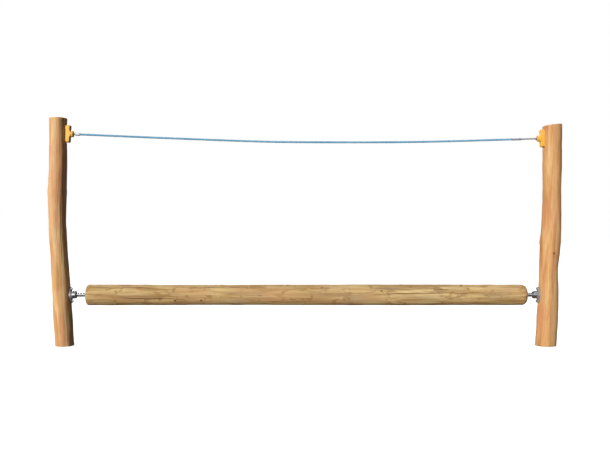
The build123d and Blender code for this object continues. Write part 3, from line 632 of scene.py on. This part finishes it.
def post_flats(side):
    """Each planed flat's centre, outward direction, half height and half width. The last is round."""
    tilt = SEAT_TILT[side]
    seat_normal = np.array([INWARD[side] * math.cos(tilt), 0, math.sin(tilt)])
    seat_centre = np.array([BEARING_X[side], 0, AXLE_HEIGHT]) - seat_normal * CENTRE_ABOVE_SEAT
    end, direction = rope_end(side)
    anchor_centre = end - direction * TERMINAL_REACH[side]
    spot_centre = anchor_centre - direction * (BACK_DEPTH[side] - SPOTFACE_DEPTH)
    return [(seat_centre, seat_normal, SEAT_FLAT_HEIGHT / 2, SEAT_FLAT_WIDTH / 2),
            (anchor_centre, direction, ANCHOR_FLAT_HEIGHT / 2, ANCHOR_FLAT_WIDTH[side] / 2),
            (spot_centre, -direction, SPOTFACE_RADIUS, SPOTFACE_RADIUS)]


def plane_off(points, flats):
    """Moves the points that stand out over a flat down onto it."""
    planed = np.zeros(len(points))
    for centre, normal, half_height, half_width in flats:
        up = np.cross(normal, [0.0, 1.0, 0.0])
        offset = points - centre
        height, lift, width = offset @ normal, np.abs(offset @ up), np.abs(offset[:, 1])
        # equal half sizes mean a round flat
        if half_width == half_height:
            over = (height > 0) & (np.hypot(lift, width) < half_width)
        else:
            over = (height > 0) & (lift < half_height) & (width < half_width)
        points = points - np.outer(np.where(over, height, 0), normal)
        planed = np.maximum(planed, over)
    return points, planed


def make_post(side, material, seed, knots, checks):
    """One post. Each knot has its height, angle, size and how far it stands out, and each check its
    two ends, angle, width, depth and drift. Angles are in degrees."""
    flats = post_flats(side)
    ledges = []
    for centre, normal, half_height, _ in flats:
        for way in (1, -1):
            ledge = centre[2] + way * half_height * abs(normal[0])
            ledges += [ledge - LEDGE_HALF_WIDTH, ledge + LEDGE_HALF_WIDTH]
        ledges += list(np.arange(centre[2] - half_height, centre[2] + half_height, FLAT_RING_SPACING))
    top = POST_TOP[side]
    places = ring_places(top, POST_RING_SPACING, FOOT_ROUNDING, TOP_ROUNDING, ledges)
    stations = post_stations[side]
    heights = np.arange(len(stations)) * STATION_SPACING
    axis_x = smooth_line(heights, [x for x, _ in stations], places)
    radii = smooth_line(heights, [diameter / 2 for _, diameter in stations], places)
    radii = rounded_radius(places, top, FOOT_ROUNDING, TOP_ROUNDING, radii)
    centres = np.stack([axis_x, np.zeros(len(places)), places], axis=1)
    post = Timber(f"{side}_post", (0, 0, 1), ((1, 0, 0), (0, 1, 0)), places, centres, radii, seed)
    post.lumps(height=0.0035, length=0.22, seed=0)
    post.lumps(height=0.0018, length=0.08, seed=20)
    post.facets(height=0.0011, seed=40)
    for height, angle, size, rise in knots:
        post.add_knot(height, math.radians(angle), size, rise)
    for start, end, angle, width, depth, drift in checks:
        post.add_check(start, end, math.radians(angle), width, depth, drift)

    def shape(points):
        points, planed = plane_off(points, flats)
        # the sloping top: the last stretch leans up more on the side away from the log
        lean = np.clip((points[:, 2] - (top - TOP_SLOPE_REACH)) / TOP_SLOPE_REACH, 0, 1) ** 2
        rise = (points[:, 0] - stations[-1][0]) * -INWARD[side] * math.tan(POST_TOP_SLOPE[side])
        points[:, 2] = np.maximum(points[:, 2] + lean * rise, 0)
        return points, planed

    build_timber(post, material, "frame", [f"{side}_post"], shape)


make_post("left", left_post_wood, 3.1,
          knots=[(1.22, -172, 0.011, 0.004), (1.02, 140, 0.013, 0.004), (0.62, 50, 0.012, 0.004),
                 (1.21, 20, 0.010, 0.003)],
          checks=[(0.62, 1.18, -52, 0.0024, 0.003, 0.010), (0.30, 1.10, 118, 0.0036, 0.009, 0.020),
                  (1.05, 1.72, 60, 0.0030, 0.007, 0.010), (0.05, 0.50, 160, 0.0030, 0.007, 0.004)])
make_post("right", right_post_shaded_wood, 11.7,
          knots=[(0.73, -85, 0.009, 0.0035), (1.08, 30, 0.013, 0.004), (0.82, 170, 0.015, 0.005),
                 (1.56, 100, 0.010, 0.003)],
          checks=[(0.95, 1.45, -48, 0.0024, 0.003, -0.008), (0.20, 1.15, 95, 0.0036, 0.009, 0.020),
                  (0.90, 1.52, 35, 0.0034, 0.008, 0.006)])

# ---------------------------------------------------------------- rolling log
LOG_LEFT, LOG_RIGHT = -1.718, 1.748
LOG_ROUNDING_LEFT, LOG_ROUNDING_RIGHT = 0.015, 0.038
LOG_RING_SPACING = 0.0065
LOG_KNOTS, LOG_CHECKS = 16, 15
KNOT_END_GAP = 0.12
log_radii = [(0.0, 0.0825), (0.86, 0.080), (1.73, 0.081), (2.60, 0.0815), (3.466, 0.079)]


def make_log():
    """The log that people walk on. Its timber also covers the wooden plugs over the cross pins."""
    length = LOG_RIGHT - LOG_LEFT
    places = ring_places(length, LOG_RING_SPACING, LOG_ROUNDING_LEFT, LOG_ROUNDING_RIGHT)
    radii = smooth_line([place for place, _ in log_radii], [radius for _, radius in log_radii], places)
    radii = rounded_radius(places, length, LOG_ROUNDING_LEFT, LOG_ROUNDING_RIGHT, radii)
    axle_heights = np.full(len(places), AXLE_HEIGHT)
    centres = np.stack([places + LOG_LEFT, np.zeros(len(places)), axle_heights], axis=1)
    log = Timber("rolling_log", (1, 0, 0), ((0, 1, 0), (0, 0, 1)), places, centres, radii, 23.4)
    log.lumps(height=0.0016, length=0.25, seed=0)
    log.lumps(height=0.0012, length=0.09, seed=20)
    log.facets(height=0.0010, seed=40)
    draw = random.Random(7)
    for _ in range(LOG_KNOTS):
        log.add_knot(draw.uniform(KNOT_END_GAP, length - KNOT_END_GAP), draw.uniform(0, math.tau),
                     draw.uniform(0.006, 0.012), draw.uniform(0.001, 0.0024))
    for _ in range(LOG_CHECKS):
        start = draw.uniform(0.0, length - 0.9)
        log.add_check(start, start + draw.uniform(0.3, 0.95), draw.uniform(0, math.tau),
                      draw.uniform(0.0026, 0.0036), draw.uniform(0.003, 0.007), draw.uniform(-0.015, 0.015))
    build_timber(log, finishes["log_wood"], "rolling_log", ["rolling_log", "pin_plugs"],
                 lambda points: (points, np.zeros(len(points))))


make_log()


# ---------------------------------------------------------------- floor and light
FLOOR_HALF_WIDTH = 40.0
FLOOR_BELOW = 0.0005
FLOOR_GLOW = 0.64


def make_floor():
    """A wide pale floor that looks white to the camera and gives little light back."""
    half = FLOOR_HALF_WIDTH
    corners = [(-half, -half, 0), (half, -half, 0), (half, half, 0), (-half, half, 0)]
    mesh = bpy.data.meshes.new("floor")
    mesh.from_pydata(corners, [], [(0, 1, 2, 3)])
    floor = bpy.data.objects.new("floor", mesh)
    floor.location.z = -FLOOR_BELOW
    bpy.context.scene.collection.objects.link(floor)
    material = bpy.data.materials.new("floor")
    material.use_nodes = True
    tree = material.node_tree
    shader = tree.nodes["Principled BSDF"]
    shader.inputs["Base Color"].default_value = (0.9, 0.9, 0.9, 1)
    shader.inputs["Roughness"].default_value = 0.9
    shader.inputs["Specular IOR Level"].default_value = 0.0
    shader.inputs["Emission Color"].default_value = (1, 1, 1, 1)
    shader.inputs["Emission Strength"].default_value = FLOOR_GLOW
    dull = tree.nodes.new("ShaderNodeBsdfDiffuse")
    dull.inputs["Color"].default_value = (0.09, 0.08, 0.07, 1)
    seen = tree.nodes.new("ShaderNodeLightPath").outputs["Is Camera Ray"]
    choice = tree.nodes.new("ShaderNodeMixShader")
    tree.links.new(seen, choice.inputs["Fac"])
    tree.links.new(dull.outputs["BSDF"], choice.inputs[1])
    tree.links.new(shader.outputs["BSDF"], choice.inputs[2])
    tree.links.new(choice.outputs["Shader"], tree.nodes["Material Output"].inputs["Surface"])
    mesh.materials.append(material)


KEY_STRENGTH = 3.55
KEY_AZIMUTH = math.radians(38)       # from straight in front, towards the left
KEY_ELEVATION = math.radians(10)
TOP_STRENGTH = 1.0
TOP_ELEVATION = math.radians(82)
BACK_STRENGTH = 1.5
BACK_AZIMUTH = math.radians(165)
BACK_ELEVATION = math.radians(25)
RIGHT_FILL_POWER = 5.0
RIGHT_FILL_PLACE = (3.05, -0.45, 0.95)
SKY_STRENGTH = 0.035


def aim(lamp, towards_light):
    """Turns a lamp so that it shines away from the direction given."""
    lamp.rotation_euler = Vector(towards_light).to_track_quat("Z", "Y").to_euler()


def make_sun(name, strength, azimuth, elevation, softness, colour):
    """A distant light, placed by its angle from straight in front and its height."""
    sun = bpy.data.objects.new(name, bpy.data.lights.new(name, "SUN"))
    sun.data.energy = strength
    sun.data.angle = math.radians(softness)
    sun.data.color = colour
    aim(sun, (-math.sin(azimuth) * math.cos(elevation), -math.cos(azimuth) * math.cos(elevation),
              math.sin(elevation)))
    bpy.context.scene.collection.objects.link(sun)


def make_right_fill():
    """A small soft panel that opens up the shaded side of the right post."""
    panel = bpy.data.objects.new("right_fill", bpy.data.lights.new("right_fill", "AREA"))
    panel.data.shape = "RECTANGLE"
    panel.data.size = 0.5
    panel.data.size_y = 1.8
    panel.data.energy = RIGHT_FILL_POWER
    panel.location = RIGHT_FILL_PLACE
    aim(panel, (1.1, -0.45, 0))
    panel.visible_camera = False
    bpy.context.scene.collection.objects.link(panel)


def make_light():
    """A warm low key from the front left, in a white surround with a little light from above and behind."""
    make_sun("key", KEY_STRENGTH, KEY_AZIMUTH, KEY_ELEVATION, softness=3, colour=(1.0, 0.97, 0.92))
    make_sun("top", TOP_STRENGTH, 0, TOP_ELEVATION, softness=30, colour=(0.86, 0.93, 1.0))
    make_sun("back", BACK_STRENGTH, BACK_AZIMUTH, BACK_ELEVATION, softness=10, colour=(1.0, 1.0, 1.0))
    make_right_fill()

    world = bpy.data.worlds.new("surround")
    world.use_nodes = True
    bpy.context.scene.world = world
    tree = world.node_tree
    lighting = tree.nodes["Background"]
    lighting.inputs["Color"].default_value = (0.86, 0.92, 1.0, 1)
    lighting.inputs["Strength"].default_value = SKY_STRENGTH
    backdrop = tree.nodes.new("ShaderNodeBackground")
    backdrop.inputs["Color"].default_value = (1, 1, 1, 1)
    backdrop.inputs["Strength"].default_value = 1.0
    # what bare metal mirrors: a bright wall in front of the object, and dusk behind and above it
    mirrored = tree.nodes.new("ShaderNodeBackground")
    mirrored.inputs["Color"].default_value = (0.95, 0.97, 1, 1)
    direction = tree.nodes.new("ShaderNodeSeparateXYZ")
    tree.links.new(tree.nodes.new("ShaderNodeTexCoord").outputs["Generated"], direction.inputs["Vector"])
    wall = tree.nodes.new("ShaderNodeMapRange")
    for socket, value in (("From Min", -0.55), ("From Max", -0.9), ("To Min", 0.12), ("To Max", 1.3)):
        wall.inputs[socket].default_value = value
    tree.links.new(direction.outputs["Y"], wall.inputs["Value"])
    tree.links.new(wall.outputs["Result"], mirrored.inputs["Strength"])
    rays = tree.nodes.new("ShaderNodeLightPath")
    shader = lighting.outputs["Background"]
    for ray, background in (("Is Glossy Ray", mirrored), ("Is Camera Ray", backdrop)):
        choice = tree.nodes.new("ShaderNodeMixShader")
        tree.links.new(rays.outputs[ray], choice.inputs["Fac"])
        tree.links.new(shader, choice.inputs[1])
        tree.links.new(background.outputs["Background"], choice.inputs[2])
        shader = choice.outputs["Shader"]
    tree.links.new(shader, tree.nodes["World Output"].inputs["Surface"])
    bpy.context.scene.view_settings.view_transform = "Standard"


make_floor()
make_light()
